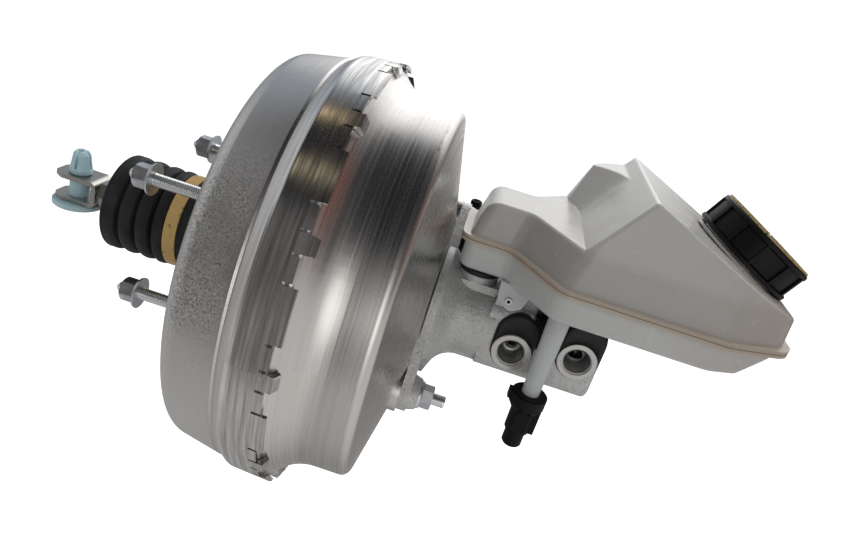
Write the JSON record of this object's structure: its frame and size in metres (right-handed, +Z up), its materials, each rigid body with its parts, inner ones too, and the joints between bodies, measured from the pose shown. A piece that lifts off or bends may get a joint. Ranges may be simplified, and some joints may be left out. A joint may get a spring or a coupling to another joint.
{
  "type": "vacuum brake booster with master cylinder and reservoir",
  "caption": "Vacuum brake booster with crimped alloy shells, rear studs, boot and fork, tandem master cylinder, translucent fluid reservoir with screw cap, and moving pistons inside.",
  "frame": {"origin": "centre of the rear mounting face, on the booster's axis", "axes": "+X forward along the booster's axis towards the master cylinder, +Z up, +Y to the left"},
  "size_m": [0.4585, 0.27, 0.27],
  "materials": {
    "rear_alloy": "satin pressed aluminium, speckled and polished by zones",
    "front_alloy": "turned and brushed aluminium",
    "casting": "sand-textured cast aluminium",
    "zinc_steel": "bright zinc-plated steel",
    "nut_steel": "dull zinc-plated steel",
    "yellow_zinc": "yellow passivated zinc plate",
    "spring_steel": "plain spring steel",
    "pin_plastic": "light blue moulded plastic",
    "boot_rubber": "matte black rubber",
    "seal_rubber": "moulded black rubber",
    "band_plastic": "tan moulded plastic",
    "hub_plastic": "moulded black plastic",
    "black_plastic": "black moulded plastic with a soft sheen",
    "milky_plastic": "milky translucent moulded plastic",
    "cap_plastic": "black moulded plastic",
    "ochre_print": "ochre raised blocks",
    "filter_foam": "open foam",
    "white_plastic": "white moulded plastic",
    "float_plastic": "closed foam plastic"
  },
  "bodies": {
    "housing": {"rear_shell": "rear_alloy", "front_shell": "front_alloy", "stud_ring": "zinc_steel", "mounting_studs": "zinc_steel", "mounting_nuts": "nut_steel", "master_cylinder_studs": "zinc_steel", "master_cylinder_nuts": "nut_steel", "guide_ring": "white_plastic", "neck_seal": "seal_rubber", "boot_sleeve": "boot_rubber", "boot_band": "band_plastic", "boot": "boot_rubber", "diaphragm": "seal_rubber", "return_spring": "spring_steel", "shell_seal": "seal_rubber", "cylinder_body": "casting", "cylinder_cups": "seal_rubber", "reservoir_grommets": "seal_rubber", "reservoir_pin": "zinc_steel", "reservoir_upper": "milky_plastic", "reservoir_lower": "milky_plastic", "level_probe": "white_plastic", "level_connector": "black_plastic", "filler_strainer": "white_plastic", "check_valve_body": "black_plastic", "check_valve_grommet": "seal_rubber", "check_valve_spring": "spring_steel", "secondary_spring": "spring_steel"},
    "power_piston": {"valve_body": "hub_plastic", "diaphragm_plate": "zinc_steel", "cross_key": "zinc_steel", "poppet_valve": "seal_rubber", "poppet_cup": "hub_plastic", "poppet_spring": "spring_steel", "air_filter": "filter_foam", "filter_retainer": "white_plastic", "reaction_disc": "seal_rubber", "output_rod": "zinc_steel", "rod_return_spring": "spring_steel"},
    "plunger": {"valve_plunger": "zinc_steel"},
    "input_rod": {"input_rod": "zinc_steel", "boot_collar": "seal_rubber", "clevis_locknut": "yellow_zinc", "clevis": "yellow_zinc"},
    "clevis_pin": {"clevis_pin": "pin_plastic"},
    "primary_piston": {"primary_piston": "zinc_steel"},
    "secondary_piston": {"secondary_piston": "zinc_steel", "primary_spring": "spring_steel"},
    "level_float": {"level_float": "float_plastic"},
    "check_valve_disc": {"check_valve_disc": "seal_rubber"},
    "cap_seal": {"cap_seal": "seal_rubber"},
    "reservoir_cap": {"reservoir_cap": "cap_plastic", "cap_ring": "ochre_print"}
  },
  "joints": [
    {"name": "power_stroke", "type": "slide", "parent": "housing", "child": "power_piston", "axis": [1, 0, 0], "range_m": [0, 0.03], "stiffness_N_per_m": 2500, "springref_m": -0.03, "deforming": ["boot", "diaphragm", "return_spring"]},
    {"name": "valve_travel", "type": "slide", "parent": "power_piston", "child": "plunger", "axis": [1, 0, 0], "range_m": [0, 0.0012], "stiffness_N_per_m": 6000, "springref_m": -0.004, "deforming": ["rod_return_spring"]},
    {"name": "rod_swivel", "type": "hinge", "parent": "plunger", "child": "input_rod", "pos_m": [-0.008, 0, 0], "axis": [0, 0, 1], "range_deg": [-2, 2]},
    {"name": "pin_turn", "type": "hinge", "parent": "input_rod", "child": "clevis_pin", "pos_m": [-0.1147, 0, 0], "axis": [0, 0, 1], "continuous": true},
    {"name": "primary_stroke", "type": "slide", "parent": "housing", "child": "primary_piston", "axis": [1, 0, 0], "range_m": [0, 0.03], "deforming": ["primary_spring"]},
    {"name": "secondary_stroke", "type": "slide", "parent": "housing", "child": "secondary_piston", "axis": [1, 0, 0], "range_m": [0, 0.015], "deforming": ["secondary_spring"]},
    {"name": "float_travel", "type": "slide", "parent": "housing", "child": "level_float", "axis": [0, 0, 1], "range_m": [0, 0.014]},
    {"name": "check_valve_lift", "type": "slide", "parent": "housing", "child": "check_valve_disc", "axis": [1, 0, 0], "range_m": [0, 0.002], "stiffness_N_per_m": 200, "springref_m": -0.003, "deforming": ["check_valve_spring"]},
    {"name": "cap_lift", "type": "slide", "parent": "housing", "child": "cap_seal", "axis": [0.454, 0, 0.891], "range_m": [0, 0.012]},
    {"name": "cap_turn", "type": "hinge", "parent": "cap_seal", "child": "reservoir_cap", "pos_m": [0.2913, 0, 0.0897], "axis": [0.454, 0, 0.891], "range_deg": [0, 720]}
  ],
  "couplings": [
    {"joint": "primary_stroke", "follows": "power_stroke", "ratio": 1},
    {"joint": "secondary_stroke", "follows": "power_stroke", "ratio": 0.5},
    {"joint": "cap_lift", "follows": "cap_turn", "m_per_rad": 0.00095493}
  ]
}
